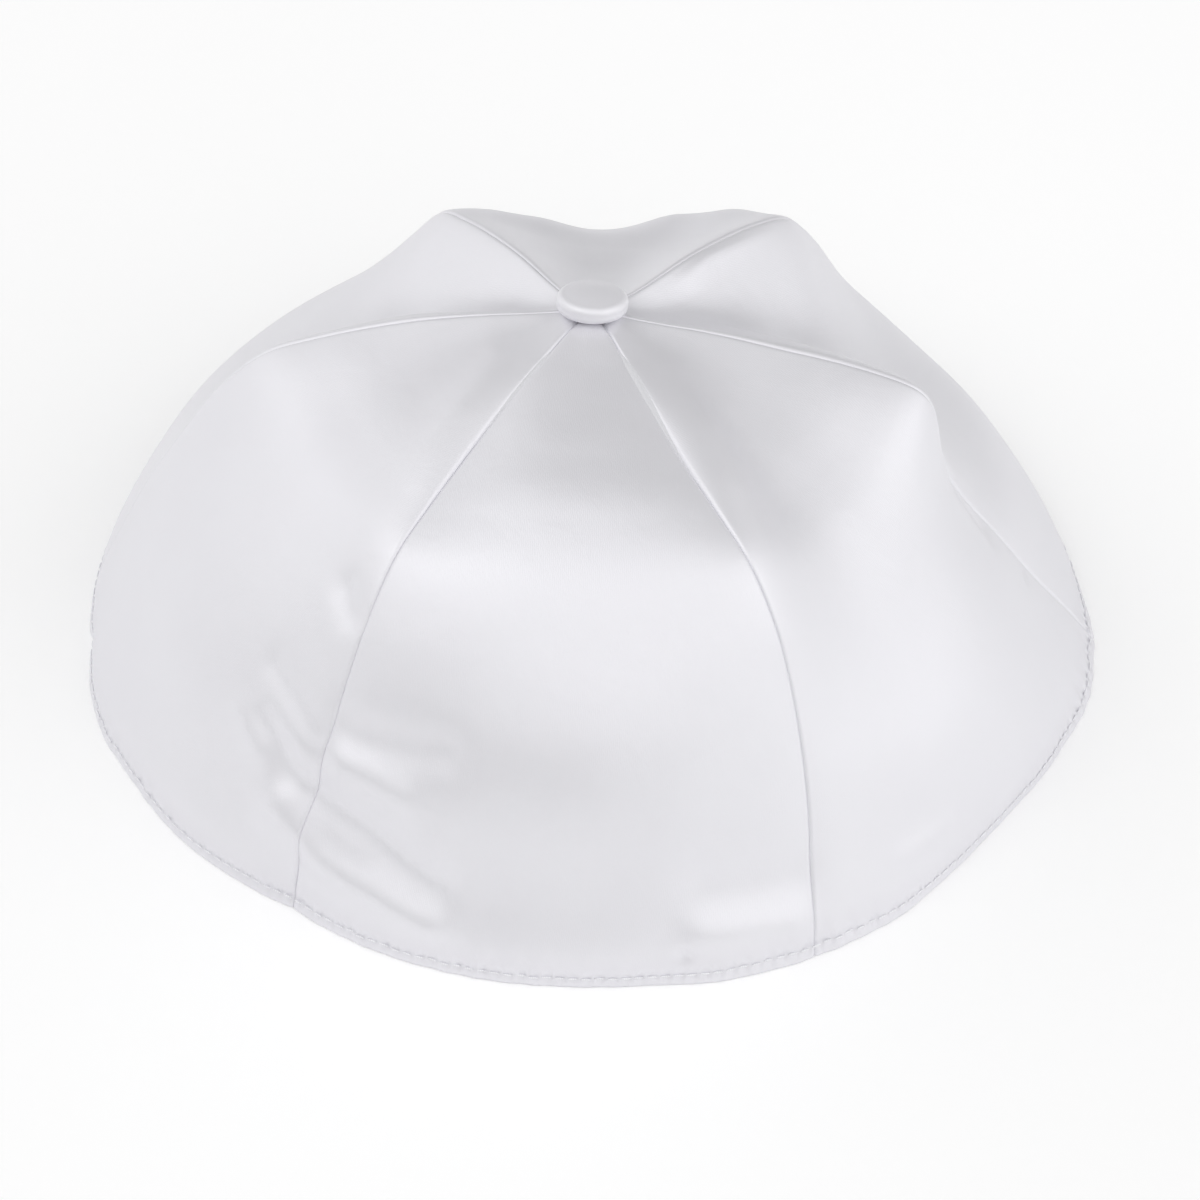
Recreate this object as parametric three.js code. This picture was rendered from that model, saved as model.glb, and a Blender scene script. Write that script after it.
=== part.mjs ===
// A six-panel satin kippah with a covered button, standing on its rim.
// Millimetres, +Z up. The rim lies on z = 0, and the front faces -Y.
// Azimuths are degrees about +Z from +X. A level runs from 0 at the crown's opening to 1 at the rim.

import * as THREE from 'three';
import { mergeVertices } from 'three/addons/utils/BufferGeometryUtils.js';

// Cap
const RIM_RADIUS = 85;
const CROWN_HEIGHT = 68;
const CLOTH = 1.2;
const HEM_DEPTH = 6;
const HEM_THICKNESS = 1.9;
const SEAM_GAP = 0.3;

// Button
const BUTTON_DIAMETER = 11.6;
const BUTTON_THICKNESS = 3;
const BUTTON_DOME = 0.5;
const BUTTON_EDGE_RADIUS = 1.2;
const BUTTON_SEAT_GAP = 0.5;
const SHANK_DIAMETER = 4;
const SHANK_BELOW_CLOTH = 0.8;
const SHANK_CLEARANCE = 0.8;
const BUTTON_LEAN = 14;
const BUTTON_LEAN_AZIMUTH = 80;

// Share of the button's diameter over which the cloth tips with it
const LEAN_SPREAD = 1.4;

const OPENING_RADIUS = SHANK_DIAMETER / 2 + SHANK_CLEARANCE;

// Profile along a seam, a ridge from the button to the rim.
// reach is a share of the way from the opening to the rim, height a share of CROWN_HEIGHT.
const SEAM_PROFILE = [
  { level: 0.00, reach: 0.000, height: 1.000 },
  { level: 0.09, reach: 0.155, height: 0.985 },
  { level: 0.22, reach: 0.330, height: 0.950 },
  { level: 0.36, reach: 0.511, height: 0.885 },
  { level: 0.44, reach: 0.614, height: 0.830 },
  { level: 0.52, reach: 0.696, height: 0.735 },
  { level: 0.63, reach: 0.783, height: 0.585 },
  { level: 0.74, reach: 0.861, height: 0.420 },
  { level: 0.85, reach: 0.923, height: 0.245 },
  { level: 0.95, reach: 0.967, height: 0.085 },
  { level: 1.00, reach: 0.985, height: 0.000 },
];

// Profile along the middle of a panel, which sags at the crown and bellies at the side
const PANEL_PROFILE = [
  { level: 0.00, reach: 0.000, height: 0.990 },
  { level: 0.09, reach: 0.145, height: 0.930 },
  { level: 0.22, reach: 0.289, height: 0.865 },
  { level: 0.36, reach: 0.433, height: 0.805 },
  { level: 0.44, reach: 0.542, height: 0.745 },
  { level: 0.52, reach: 0.645, height: 0.655 },
  { level: 0.63, reach: 0.768, height: 0.520 },
  { level: 0.74, reach: 0.871, height: 0.370 },
  { level: 0.85, reach: 0.943, height: 0.205 },
  { level: 0.95, reach: 0.990, height: 0.070 },
  { level: 1.00, reach: 1.000, height: 0.000 },
];

// Where a seam's azimuths and the reach and lift of each seam and panel are given
const AZIMUTH_LEVELS = [0, 0.25, 0.58, 1];
const REACH_LEVELS = [0, 0.22, 0.42, 0.60, 0.80, 1];
const LIFT_LEVELS = [0, 0.22, 0.42, 0.60, 0.80, 1];

// Seams, counter-clockwise. reach adds shares of RIM_RADIUS, and lift shares of CROWN_HEIGHT.
// roll is the height of the cloth's roll beside the seam at the crown, a share of RIM_RADIUS,
// on the side of the panel that starts at the seam (1) or of the one that ends there (-1).
const SEAMS = [
  {
    name: 'left', side: -1, roll: 0.018, azimuth: [176, 176, 176, 174.5],
    reach: [0, 0, 0, 0, 0, 0.016], lift: [0, -0.005, 0, 0, 0, 0],
  },
  {
    name: 'front left', side: -1, roll: 0.018, azimuth: [235, 235, 235, 234.5],
    reach: [0, 0, 0, 0, 0, -0.008], lift: [0, 0, 0, 0, 0, 0],
  },
  {
    name: 'front right', side: 1, roll: 0.018, azimuth: [295, 295, 298, 294.5],
    reach: [0, 0, 0.01, 0, 0, 0.015], lift: [0, 0.01, 0.04, 0.02, 0, 0],
  },
  {
    name: 'right', side: 1, roll: 0.018, azimuth: [354, 354, 352, 356],
    reach: [0, 0, 0.02, -0.08, -0.07, 0.02], lift: [0, -0.02, 0, 0, 0, 0],
  },
  {
    name: 'back right', side: -1, roll: 0, azimuth: [50, 50, 50, 54.5],
    reach: [0, 0, -0.03, -0.035, -0.025, 0.01], lift: [0, -0.02, -0.01, -0.05, -0.03, 0],
  },
  {
    name: 'back left', side: 1, roll: 0, azimuth: [120, 120, 120, 114.5],
    reach: [0, 0, -0.04, -0.045, -0.03, 0.01], lift: [0, -0.04, -0.045, -0.065, -0.04, 0],
  },
];

// Panels, each from its seam to the next. cells are the mesh steps across and down.
const PANELS = [
  {
    name: 'panel_front_left', cells: [22, 26],
    reach: [0, 0.03, 0.02, 0.01, -0.005, 0.003], lift: [0, 0.055, 0.055, 0.03, -0.005, 0],
  },
  {
    name: 'panel_front', cells: [22, 26],
    reach: [0, 0.05, 0.05, 0.06, 0.005, -0.006], lift: [0, 0.105, 0.12, 0.05, 0.005, 0],
  },
  {
    name: 'panel_front_right', cells: [22, 26],
    reach: [0, 0.02, 0.04, 0.005, -0.005, -0.02], lift: [0, 0.035, 0.01, -0.02, -0.01, 0],
  },
  {
    name: 'panel_back_right', cells: [14, 16],
    reach: [0, 0, -0.06, -0.1, -0.055, -0.04], lift: [0, -0.03, -0.06, -0.03, 0, 0],
  },
  {
    name: 'panel_back', cells: [14, 16],
    reach: [0, 0, -0.015, -0.03, -0.01, 0], lift: [0, -0.06, -0.08, -0.06, -0.03, 0],
  },
  {
    name: 'panel_back_left', cells: [14, 16],
    reach: [0, 0, -0.05, -0.045, -0.012, -0.01], lift: [0, -0.04, -0.06, -0.03, 0, 0],
  },
];

// Folds and dents. halfWidth and push are shares of RIM_RADIUS, and a push below 0 is a dent.
// path holds pairs of azimuth and level.
const FOLDS = [
  { name: 'back puff right', halfWidth: 0.10, push: 0.045, path: [[73, 0.50], [64, 0.49]] },
  { name: 'back puff left', halfWidth: 0.10, push: 0.022, path: [[108, 0.47], [102, 0.47]] },
  { name: 'rim left', halfWidth: 0.09, push: 0.010, path: [[193, 1], [199, 1]] },
  { name: 'rim front', halfWidth: 0.10, push: 0.012, path: [[285, 1], [304, 1]] },
  { name: 'rim right dip', halfWidth: 0.10, push: -0.008, path: [[322, 1], [326, 1]] },
  { name: 'rim right', halfWidth: 0.08, push: 0.012, path: [[345, 1], [347, 1]] },
  {
    name: 'band valley', halfWidth: 0.040, push: -0.010,
    path: [[229, 0.79], [237, 0.80], [243, 0.805], [252, 0.845]],
  },
  {
    name: 'band ridge', halfWidth: 0.040, push: 0.011,
    path: [[230, 0.845], [237, 0.885], [245, 0.893], [252, 0.917]],
  },
  {
    name: 'wedge valley', halfWidth: 0.045, push: -0.010,
    path: [[238, 0.69], [245, 0.67], [251, 0.655]],
  },
  {
    name: 'wedge ridge', halfWidth: 0.035, push: 0.009,
    path: [[238, 0.735], [242, 0.733], [246.5, 0.738]],
  },
  { name: 'pinch ridge', halfWidth: 0.030, push: 0.006, path: [[221, 0.74], [226, 0.776], [231, 0.82]] },
  { name: 'pinch valley', halfWidth: 0.030, push: -0.006, path: [[223, 0.66], [229, 0.686], [233, 0.715]] },
  { name: 'seam pocket', halfWidth: 0.032, push: -0.009, path: [[229, 0.52], [232, 0.545]] },
  { name: 'hem patch valley', halfWidth: 0.050, push: -0.009, path: [[283, 0.84], [293, 0.865]] },
  { name: 'hem patch ridge', halfWidth: 0.040, push: 0.009, path: [[282.5, 0.915], [293, 0.94]] },
  { name: 'right crease', halfWidth: 0.032, push: -0.009, path: [[351, 0.63], [350, 0.70]] },
];

// Rolls beside the seams: offset from the seam and half width as shares of RIM_RADIUS,
// the reach within which they narrow towards the button, and the levels over which they end
const ROLL_OFFSET = 0.065;
const ROLL_HALF_WIDTH = 0.055;
const ROLL_NARROWING = 0.2;
const ROLL_END = [0.2, 0.45];

// Powers of the panel's bulge across its width, at the crown and at the side
const CROWN_POWER = 2.4;
const SIDE_POWER = 2;

// Power with which the outward direction turns into the seam's plane towards an edge
const EDGE_POWER = 4;

// Levels between which the cap turns from crown to side, and within which its edges square up
const SHOULDER = [0.4, 0.7];
const OPENING_EDGE = [0, 0.08];
const RIM_EDGE = [0.9, 1];

const BUTTON_SEGMENTS = 32;
const EDGE_STEPS = 4;
const DOME_STEPS = 3;

const SATIN = { color: 0xe9e9ee, roughness: 0.45, metalness: 0 };
const BUTTON_SATIN = { color: 0xe6e6ec, roughness: 0.4, metalness: 0 };

const radians = THREE.MathUtils.degToRad;
const { lerp, smoothstep } = THREE.MathUtils;

// Smooth curve through a table's points
function through(xs, ys, x) {
  const last = xs.length - 1;
  const slopes = xs.slice(1).map((right, i) => (ys[i + 1] - ys[i]) / (right - xs[i]));
  const tangent = (i) => {
    if (i === 0) return slopes[0];
    if (i === last) return slopes[last - 1];
    const before = xs[i] - xs[i - 1];
    const after = xs[i + 1] - xs[i];
    return (slopes[i - 1] * after + slopes[i] * before) / (before + after);
  };
  let i = 0;
  while (i < last - 1 && x > xs[i + 1]) i += 1;
  const width = xs[i + 1] - xs[i];
  const s = THREE.MathUtils.clamp((x - xs[i]) / width, 0, 1);
  const rise = s * s * (3 - 2 * s);
  return (
    lerp(ys[i], ys[i + 1], rise)
    + s * (1 - s) ** 2 * width * tangent(i)
    + s * s * (s - 1) * width * tangent(i + 1)
  );
}

// Reach and height of a seam or a panel's middle at one level
function station(profile, row, level) {
  const levels = profile.map((point) => point.level);
  const reachShare = through(levels, profile.map((point) => point.reach), level);
  const heightShare = through(levels, profile.map((point) => point.height), level);
  return {
    reach: OPENING_RADIUS + (RIM_RADIUS - OPENING_RADIUS) * reachShare
      + RIM_RADIUS * through(REACH_LEVELS, row.reach, level),
    height: CROWN_HEIGHT * (heightShare + through(LIFT_LEVELS, row.lift, level)),
  };
}

// How much the cloth round the button tips with it
function crownLean(reach, azimuth) {
  const spread = LEAN_SPREAD * BUTTON_DIAMETER;
  const slope = Math.tan(radians(BUTTON_LEAN)) * Math.cos(radians(azimuth - BUTTON_LEAN_AZIMUTH));
  return -slope * reach * Math.exp(-((reach / spread) ** 2));
}

// Azimuth of a panel's point, with across from 0 at its own seam to 1 at the next
function azimuthAt(index, across, level) {
  const own = SEAMS[index];
  const next = SEAMS[(index + 1) % SEAMS.length];
  const start = through(AZIMUTH_LEVELS, own.azimuth, level);
  const end = through(AZIMUTH_LEVELS, next.azimuth, level);
  const turn = THREE.MathUtils.euclideanModulo(end - start, 360);
  return start + turn * across;
}

// Panel's outer surface before its folds
function smoothPoint(index, across, level) {
  const own = station(SEAM_PROFILE, SEAMS[index], level);
  const next = station(SEAM_PROFILE, SEAMS[(index + 1) % SEAMS.length], level);
  const middle = station(PANEL_PROFILE, PANELS[index], level);
  const power = lerp(CROWN_POWER, SIDE_POWER, smoothstep(level, ...SHOULDER));
  const bulge = 1 - Math.abs(2 * across - 1) ** power;
  const side = smoothstep(across, 0, 1);
  const reach = lerp(lerp(own.reach, next.reach, side), middle.reach, bulge);
  const height = lerp(lerp(own.height, next.height, side), middle.height, bulge);
  const azimuth = azimuthAt(index, across, level);
  const angle = radians(azimuth);
  return new THREE.Vector3(
    reach * Math.cos(angle),
    reach * Math.sin(angle),
    height + crownLean(reach, azimuth),
  );
}

// Length of the seam profile from the opening to the rim
function meridianLength() {
  const points = SEAM_PROFILE.map((row) => new THREE.Vector2(
    (RIM_RADIUS - OPENING_RADIUS) * row.reach,
    CROWN_HEIGHT * row.height,
  ));
  return points.slice(1).reduce((sum, point, i) => sum + point.distanceTo(points[i]), 0);
}

const MERIDIAN = meridianLength();

// Push of all folds at one point, measured on the cloth as distances round and down the cap
function foldPush(azimuth, level, reach) {
  const onCloth = ([pathAzimuth, pathLevel], turns) => new THREE.Vector2(
    radians(azimuth - pathAzimuth - 360 * turns) * reach,
    (level - pathLevel) * MERIDIAN,
  );
  return FOLDS.reduce((sum, fold) => {
    const turns = Math.round((azimuth - fold.path[0][0]) / 360);
    const points = fold.path.map((point) => onCloth(point, turns));
    let nearest = Infinity;
    for (let i = 1; i < points.length; i += 1) {
      const run = points[i - 1].clone().sub(points[i]);
      const along = THREE.MathUtils.clamp(points[i - 1].dot(run) / run.lengthSq(), 0, 1);
      const miss = points[i - 1].clone().addScaledVector(run, -along);
      nearest = Math.min(nearest, miss.lengthSq());
    }
    return sum + fold.push * RIM_RADIUS * Math.exp(-nearest / (fold.halfWidth * RIM_RADIUS) ** 2);
  }, 0);
}

// Push of the rolls beside the seams at one point
function rollPush(azimuth, level, reach) {
  const narrowing = Math.min(1, reach / (ROLL_NARROWING * RIM_RADIUS));
  const strength = narrowing * smoothstep(level, ...OPENING_EDGE) * (1 - smoothstep(level, ...ROLL_END));
  return SEAMS.reduce((sum, seam) => {
    const turn = azimuth - through(AZIMUTH_LEVELS, seam.azimuth, level);
    const turned = THREE.MathUtils.euclideanModulo(turn + 180, 360) - 180;
    const distance = seam.side * radians(turned) * reach / narrowing / RIM_RADIUS;
    const roll = Math.exp(-(((distance - ROLL_OFFSET) / ROLL_HALF_WIDTH) ** 2));
    return sum + seam.roll * RIM_RADIUS * strength * roll;
  }, 0);
}

// Outward direction of the cloth. It stays in the seam's own plane at a panel's edges,
// is upright at the opening and level at the rim, so that all the edges come out square.
function outward(index, across, level, share) {
  const step = 0.001;
  const down = smoothPoint(index, across, Math.min(level + step, 1))
    .sub(smoothPoint(index, across, Math.max(level - step, 0)));
  const round = smoothPoint(index, across + step, level)
    .sub(smoothPoint(index, across - step, level));
  const normal = down.cross(round).normalize();
  const angle = radians(azimuthAt(index, across, level));
  const hoop = new THREE.Vector3(-Math.sin(angle), Math.cos(angle), 0);
  normal.addScaledVector(hoop, -normal.dot(hoop) * Math.abs(2 * share - 1) ** EDGE_POWER);
  const opened = smoothstep(level, ...OPENING_EDGE);
  normal.x *= opened;
  normal.y *= opened;
  normal.z *= 1 - smoothstep(level, ...RIM_EDGE);
  return normal.normalize();
}

// Cloth thickness, with the hem turned in at the rim
function thickness(level) {
  const hemStart = 1 - HEM_DEPTH / MERIDIAN;
  const hemBlend = 0.25 * (1 - hemStart);
  return lerp(CLOTH, HEM_THICKNESS, smoothstep(level, hemStart - hemBlend, hemStart + hemBlend));
}

// One panel: its outer and inner grids, closed along the seams, the opening and the rim
function panelGeometry(index) {
  const [columns, rows] = PANELS[index].cells;
  const positions = [];
  const faces = [];
  for (let row = 0; row <= rows; row += 1) {
    const level = row / rows;
    const wall = thickness(level);
    for (let column = 0; column <= columns; column += 1) {
      const share = column / columns;
      const seamReach = smoothPoint(index, share, level);
      const width = azimuthAt(index, 1, level) - azimuthAt(index, 0, level);
      const reach = Math.hypot(seamReach.x, seamReach.y);
      const inset = SEAM_GAP / 2 / (radians(width) * reach);
      const across = lerp(inset, 1 - inset, share);
      const direction = outward(index, across, level, share);
      const azimuth = azimuthAt(index, across, level);
      const relief = foldPush(azimuth, level, reach) + rollPush(azimuth, level, reach);
      const outer = smoothPoint(index, across, level).addScaledVector(direction, relief);
      const inner = outer.clone().addScaledVector(direction, -wall);
      positions.push(...outer.toArray(), ...inner.toArray());
    }
  }
  const outerAt = (row, column) => 2 * (row * (columns + 1) + column);
  const innerAt = (row, column) => outerAt(row, column) + 1;
  const quad = (a, b, c, d) => faces.push(a, b, c, a, c, d);
  for (let row = 0; row < rows; row += 1) {
    for (let column = 0; column < columns; column += 1) {
      quad(outerAt(row, column), outerAt(row + 1, column), outerAt(row + 1, column + 1), outerAt(row, column + 1));
      quad(innerAt(row, column), innerAt(row, column + 1), innerAt(row + 1, column + 1), innerAt(row + 1, column));
    }
    quad(outerAt(row, 0), innerAt(row, 0), innerAt(row + 1, 0), outerAt(row + 1, 0));
    quad(outerAt(row, columns), outerAt(row + 1, columns), innerAt(row + 1, columns), innerAt(row, columns));
  }
  for (let column = 0; column < columns; column += 1) {
    quad(outerAt(0, column), outerAt(0, column + 1), innerAt(0, column + 1), innerAt(0, column));
    quad(outerAt(rows, column), innerAt(rows, column), innerAt(rows, column + 1), outerAt(rows, column + 1));
  }
  const geometry = new THREE.BufferGeometry();
  geometry.setAttribute('position', new THREE.Float32BufferAttribute(positions, 3));
  geometry.setIndex(faces);
  return geometry;
}

// Points of an arc in a profile, from one angle to another
function arc(centreX, centreY, radius, fromDegrees, toDegrees, steps) {
  return Array.from({ length: steps + 1 }, (_, i) => {
    const angle = radians(lerp(fromDegrees, toDegrees, i / steps));
    return new THREE.Vector2(centreX + radius * Math.cos(angle), centreY + radius * Math.sin(angle));
  });
}

// The covered button, with z = 0 at its seat: a low dome on a rounded edge, with its shank below
function buttonGeometry() {
  const radius = BUTTON_DIAMETER / 2;
  const edge = Math.min(BUTTON_EDGE_RADIUS, BUTTON_THICKNESS / 2);
  const flat = radius - edge;
  const shankEnd = -(BUTTON_SEAT_GAP + CLOTH + SHANK_BELOW_CLOTH);
  const dome = Array.from({ length: DOME_STEPS }, (_, i) => {
    const share = (i + 1) / DOME_STEPS;
    return new THREE.Vector2(flat * (1 - share), BUTTON_THICKNESS + BUTTON_DOME * share * (2 - share));
  });
  const profile = [
    new THREE.Vector2(0, shankEnd),
    new THREE.Vector2(SHANK_DIAMETER / 2, shankEnd),
    new THREE.Vector2(SHANK_DIAMETER / 2, 0),
    ...arc(flat, edge, edge, -90, 0, EDGE_STEPS),
    ...arc(flat, BUTTON_THICKNESS - edge, edge, 0, 90, EDGE_STEPS),
    ...dome,
  ];
  const geometry = new THREE.LatheGeometry(profile, BUTTON_SEGMENTS);
  geometry.rotateX(Math.PI / 2);
  geometry.deleteAttribute('normal');
  geometry.deleteAttribute('uv');
  return mergeVertices(geometry);
}

function cloth(name, geometry, finish) {
  const material = new THREE.MeshStandardMaterial(finish);
  const mesh = new THREE.Mesh(geometry, material);
  mesh.name = name;
  return mesh;
}

const cap = new THREE.Group();
PANELS.forEach((panel, index) => cap.add(cloth(panel.name, panelGeometry(index), SATIN)));

const button = cloth('button', buttonGeometry(), BUTTON_SATIN);
const leanAngle = radians(BUTTON_LEAN_AZIMUTH);
const leanAxis = new THREE.Vector3(-Math.sin(leanAngle), Math.cos(leanAngle), 0);
button.quaternion.setFromAxisAngle(leanAxis, radians(BUTTON_LEAN));
button.position.z = CROWN_HEIGHT + BUTTON_SEAT_GAP;
cap.add(button);

// The rim's box is centred on the origin
const box = new THREE.Box3().setFromObject(cap, true);
const centre = box.getCenter(new THREE.Vector3());
cap.position.set(-centre.x, -centre.y, 0);

const kippah = new THREE.Group();
kippah.add(cap);

export default kippah;
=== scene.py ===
"""A six-panel satin kippah with a covered button, standing on its rim on a white table."""
import math

import bpy
import numpy as np
from mathutils import Matrix, Vector


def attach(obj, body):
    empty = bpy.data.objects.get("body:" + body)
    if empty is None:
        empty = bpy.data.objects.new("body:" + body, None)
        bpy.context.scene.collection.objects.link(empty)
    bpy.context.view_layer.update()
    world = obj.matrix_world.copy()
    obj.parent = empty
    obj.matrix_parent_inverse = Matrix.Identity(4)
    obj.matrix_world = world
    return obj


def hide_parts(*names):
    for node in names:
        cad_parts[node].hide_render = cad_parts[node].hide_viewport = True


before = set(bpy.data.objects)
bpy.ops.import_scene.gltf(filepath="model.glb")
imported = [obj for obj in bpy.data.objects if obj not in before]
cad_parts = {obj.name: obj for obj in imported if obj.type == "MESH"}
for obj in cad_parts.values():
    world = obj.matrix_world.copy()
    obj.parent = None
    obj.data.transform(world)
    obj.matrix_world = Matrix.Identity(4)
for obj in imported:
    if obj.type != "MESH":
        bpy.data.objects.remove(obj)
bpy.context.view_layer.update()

# Sizes in millimetres, with the rim on z = 0 and the front facing -Y.
# Azimuths are degrees about +Z from +X. A level runs from 0 at the crown's opening to 1 at the rim.
MM = 0.001
RIM_RADIUS = 85
CROWN_HEIGHT = 68
CLOTH = 1.2
HEM_DEPTH = 6
HEM_THICKNESS = 1.9
BUTTON_DIAMETER = 11.6
BUTTON_THICKNESS = 3
BUTTON_DOME = 0.5
BUTTON_EDGE_RADIUS = 1.2
BUTTON_SEAT_GAP = 0.5
SHANK_DIAMETER = 4
SHANK_BELOW_CLOTH = 0.8
SHANK_CLEARANCE = 0.8
BUTTON_LEAN = 14
BUTTON_LEAN_AZIMUTH = 80
LEAN_SPREAD = 1.4
OPENING_RADIUS = SHANK_DIAMETER / 2 + SHANK_CLEARANCE

# Level, reach as a share of the way from the opening to the rim, and height as a share of CROWN_HEIGHT
SEAM_PROFILE = [
    (0.00, 0.000, 1.000),
    (0.09, 0.155, 0.985),
    (0.22, 0.330, 0.950),
    (0.36, 0.511, 0.885),
    (0.44, 0.614, 0.830),
    (0.52, 0.696, 0.735),
    (0.63, 0.783, 0.585),
    (0.74, 0.861, 0.420),
    (0.85, 0.923, 0.245),
    (0.95, 0.967, 0.085),
    (1.00, 0.985, 0.000),
]
PANEL_PROFILE = [
    (0.00, 0.000, 0.990),
    (0.09, 0.145, 0.930),
    (0.22, 0.289, 0.865),
    (0.36, 0.433, 0.805),
    (0.44, 0.542, 0.745),
    (0.52, 0.645, 0.655),
    (0.63, 0.768, 0.520),
    (0.74, 0.871, 0.370),
    (0.85, 0.943, 0.205),
    (0.95, 0.990, 0.070),
    (1.00, 1.000, 0.000),
]
AZIMUTH_LEVELS = [0, 0.25, 0.58, 1]
REACH_LEVELS = [0, 0.22, 0.42, 0.60, 0.80, 1]

# Seams, counter-clockwise: azimuths, then reach as shares of RIM_RADIUS and lift as shares of CROWN_HEIGHT
SEAMS = [
    ([176, 176, 176, 174.5], [0, 0, 0, 0, 0, 0.016], [0, -0.005, 0, 0, 0, 0]),
    ([235, 235, 235, 234.5], [0, 0, 0, 0, 0, -0.008], [0, 0, 0, 0, 0, 0]),
    ([295, 295, 298, 294.5], [0, 0, 0.01, 0, 0, 0.015], [0, 0.01, 0.04, 0.02, 0, 0]),
    ([354, 354, 352, 356], [0, 0, 0.02, -0.08, -0.07, 0.02], [0, -0.02, 0, 0, 0, 0]),
    ([50, 50, 50, 54.5], [0, 0, -0.03, -0.035, -0.025, 0.01], [0, -0.02, -0.01, -0.05, -0.03, 0]),
    ([120, 120, 120, 114.5], [0, 0, -0.04, -0.045, -0.03, 0.01], [0, -0.04, -0.045, -0.065, -0.04, 0]),
]

# Rolls of cloth beside the seams at the crown: the side, 1 for the panel that starts at the seam
# and -1 for the one that ends there, and the height as a share of RIM_RADIUS. Offset, width and
# the reach where they are at full height are such shares too, and they end between two levels.
SEAM_ROLLS = [(-1, 0.018), (-1, 0.018), (1, 0.018), (1, 0.018), (-1, 0), (1, 0)]
ROLL_OFFSET = 0.065
ROLL_HALF_WIDTH = 0.055
ROLL_NARROWING = 0.2
ROLL_FULL = 0.36
ROLL_END = (0.2, 0.5)

# Panels, each from its seam to the next: name, reach and lift along its middle
PANELS = [
    ("front_left", [0, 0.03, 0.02, 0.01, -0.005, 0.003], [0, 0.055, 0.055, 0.03, -0.005, 0]),
    ("front", [0, 0.05, 0.05, 0.06, 0.005, -0.006], [0, 0.105, 0.12, 0.05, 0.005, 0]),
    ("front_right", [0, 0.02, 0.04, 0.005, -0.005, -0.02], [0, 0.035, 0.01, -0.02, -0.01, 0]),
    ("back_right", [0, 0, -0.06, -0.1, -0.055, -0.04], [0, -0.03, -0.06, -0.03, 0, 0]),
    ("back", [0, 0, -0.015, -0.03, -0.01, 0], [0, -0.06, -0.08, -0.06, -0.03, 0]),
    ("back_left", [0, 0, -0.05, -0.045, -0.012, -0.01], [0, -0.04, -0.06, -0.03, 0, 0]),
]

# Folds and dents: half width and push as shares of RIM_RADIUS, then the path's azimuths and levels
FOLDS = [
    (0.10, 0.045, [(73, 0.50), (64, 0.49)]),
    (0.10, 0.022, [(108, 0.47), (102, 0.47)]),
    (0.09, 0.010, [(193, 1), (199, 1)]),
    (0.10, 0.012, [(285, 1), (304, 1)]),
    (0.10, -0.008, [(322, 1), (326, 1)]),
    (0.08, 0.012, [(345, 1), (347, 1)]),
    (0.040, -0.010, [(229, 0.79), (237, 0.80), (243, 0.805), (252, 0.845)]),
    (0.040, 0.011, [(230, 0.845), (237, 0.885), (245, 0.893), (252, 0.917)]),
    (0.045, -0.010, [(238, 0.69), (245, 0.67), (251, 0.655)]),
    (0.035, 0.009, [(238, 0.735), (242, 0.733), (246.5, 0.738)]),
    (0.030, 0.006, [(221, 0.74), (226, 0.776), (231, 0.82)]),
    (0.030, -0.006, [(223, 0.66), (229, 0.686), (233, 0.715)]),
    (0.032, -0.009, [(229, 0.52), (232, 0.545)]),
    (0.050, -0.009, [(283, 0.84), (293, 0.865)]),
    (0.040, 0.009, [(282.5, 0.915), (293, 0.94)]),
    (0.032, -0.009, [(351, 0.63), (350, 0.70)]),
]

# Small folds, too fine for the solid
FINE_FOLDS = [
    (0.030, -0.008, [(183, 1), (187, 1)]),
    (0.024, -0.007, [(223, 0.715), (228, 0.75), (233, 0.79)]),
    (0.022, 0.002, [(226.5, 0.70), (231, 0.736), (234, 0.78)]),
    (0.014, -0.006, [(280, 0.93), (280, 0.96)]),
    (0.028, 0.005, [(316, 0.89), (305, 0.91)]),
    (0.018, -0.004, [(351, 0.80), (351, 0.82)]),
    (0.050, 0.007, [(228, 0.838), (237, 0.888), (245, 0.898), (254, 0.926)]),
    (0.036, -0.004, [(229, 0.79), (237, 0.805), (243, 0.812), (252, 0.852)]),
    (0.014, -0.003, [(239, 0.762), (243, 0.764), (247, 0.772)]),
    (0.012, 0.006, [(42, 0.10), (46, 0.20), (47, 0.40)]),
]

# How a panel bulges between its seams at the crown and at the side, and how its outward direction
# settles towards the seams, the opening and the rim, with levels for the changes
CROWN_POWER = 2.4
SIDE_POWER = 2
EDGE_POWER = 4
SHOULDER = (0.4, 0.7)
OPENING_EDGE = (0, 0.08)
RIM_EDGE = (0.9, 1)

# Rounds a seam's ridge over at the crown
RIDGE_POWER = 1.5

# Cloth rolled in and pulled down at the seams, in mm
SEAM_GAP = 0.01
ROLL_WIDTH = 0.65
ROLL_DEPTH = 0.34
SEAM_PULL = 0.25
SEAM_PULL_WIDTH = 2.4

# Further rise of the cloth beside each seam at the crown, as a share of RIM_RADIUS,
# with its offset and its half widths towards the seam and away from it
SEAM_PUFFS = [0, 0.005, 0.014, 0, 0, 0]
PUFF_OFFSET = 0.075
PUFF_WIDTHS = (0.055, 0.10)

# Depth in mm to which each seam is drawn in at the crown, the groove's width, and the levels of its ends
SEAM_DRAWS = [0.3, 1.2, 1.4, 0.3, 0.2, 0.3]
DRAW_WIDTH = 3.6
DRAW_START = (0.01, 0.08)
DRAW_END = (0.26, 0.56)

# Cloth gathered up under the button, in mm
GATHER_RISE = 1.5
GATHER_REACH = 8

# Seam allowance turned back on the inside, in mm, with the levels where it starts, and the half
# width in mm of every step between one and two layers
ALLOWANCE_WIDTH = 5
ALLOWANCE_THICKNESS = 0.45
ALLOWANCE_START = (0.12, 0.3)
LAYER_STEP = 0.3

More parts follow.
